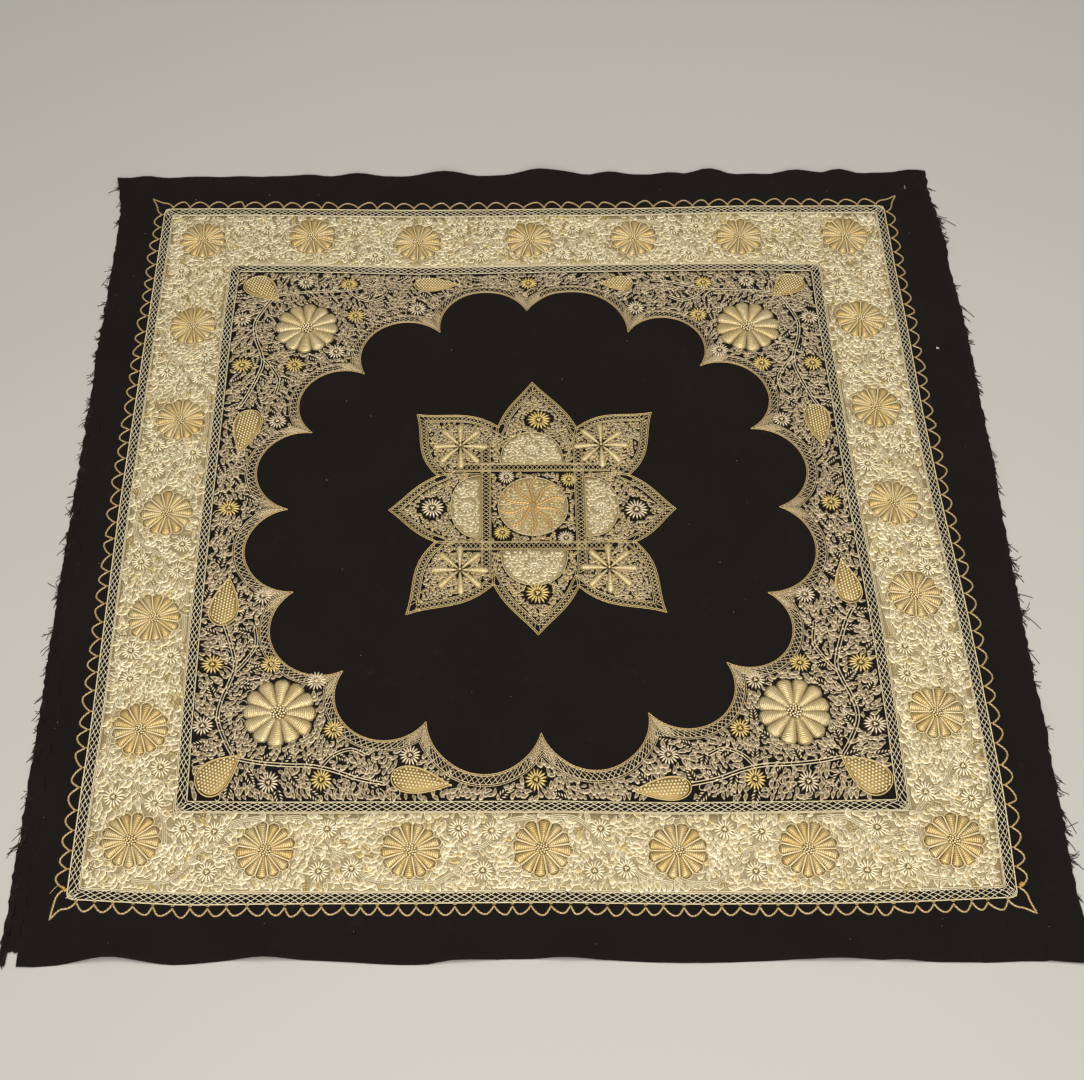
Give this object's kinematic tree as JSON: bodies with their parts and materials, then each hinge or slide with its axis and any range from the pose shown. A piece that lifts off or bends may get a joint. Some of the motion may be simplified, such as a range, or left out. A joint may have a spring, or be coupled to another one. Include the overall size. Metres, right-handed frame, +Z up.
{
  "type": "embroidery panel",
  "caption": "Flat square black wool cloth with raised metal-thread embroidery: a wide gold border with rosettes, a flowered field with a scalloped opening, and a star in the middle",
  "frame": {"origin": "centre of the bounding box at the underside, on the surface the panel lies on", "axes": "+Z up out of the worked face, +X along the front edge, +Y from the front edge to the back edge"},
  "size_m": [1.1498, 1.1376, 0.015],
  "materials": {
    "black_wool": "matt felted wool, plain weave, raw edges",
    "pale_gold_thread": "cream gold metal-wrapped thread, satin, dulled with age",
    "deep_gold_thread": "gold metal-wrapped thread over padding, satin",
    "silver_grey_thread": "tarnished silver metal-wrapped thread on the black ground",
    "copper_gold_cord": "couched copper gold cord"
  },
  "bodies": {
    "root": {"ground_cloth": "black_wool", "picot_cord": "copper_gold_cord", "outer_lattice": "silver_grey_thread", "inner_lattice": "silver_grey_thread", "border_band": "pale_gold_thread", "flower_field": "silver_grey_thread", "scalloped_edging": "copper_gold_cord", "star_field": "silver_grey_thread", "star_square": "copper_gold_cord", "centre_round": "pale_gold_thread", "rosette_01": "deep_gold_thread", "rosette_02": "deep_gold_thread", "rosette_03": "deep_gold_thread", "rosette_04": "deep_gold_thread", "rosette_05": "deep_gold_thread", "rosette_06": "deep_gold_thread", "rosette_07": "deep_gold_thread", "rosette_08": "deep_gold_thread", "rosette_09": "deep_gold_thread", "rosette_10": "deep_gold_thread", "rosette_11": "deep_gold_thread", "rosette_12": "deep_gold_thread", "rosette_13": "deep_gold_thread", "rosette_14": "deep_gold_thread", "rosette_15": "deep_gold_thread", "rosette_16": "deep_gold_thread", "rosette_17": "deep_gold_thread", "rosette_18": "deep_gold_thread", "rosette_19": "deep_gold_thread", "rosette_20": "deep_gold_thread", "rosette_21": "deep_gold_thread", "rosette_22": "deep_gold_thread", "rosette_23": "deep_gold_thread", "rosette_24": "deep_gold_thread", "corner_flower_1": "pale_gold_thread", "corner_flower_2": "pale_gold_thread", "corner_flower_3": "pale_gold_thread", "corner_flower_4": "pale_gold_thread", "bud_01": "deep_gold_thread", "bud_02": "deep_gold_thread", "bud_03": "deep_gold_thread", "bud_04": "deep_gold_thread", "bud_05": "deep_gold_thread", "bud_06": "deep_gold_thread", "bud_07": "deep_gold_thread", "bud_08": "deep_gold_thread", "bud_09": "deep_gold_thread", "bud_10": "deep_gold_thread", "bud_11": "deep_gold_thread", "bud_12": "deep_gold_thread", "half_moon_right": "pale_gold_thread", "half_moon_back": "pale_gold_thread", "half_moon_left": "pale_gold_thread", "half_moon_front": "pale_gold_thread"}
  },
  "joints": []
}
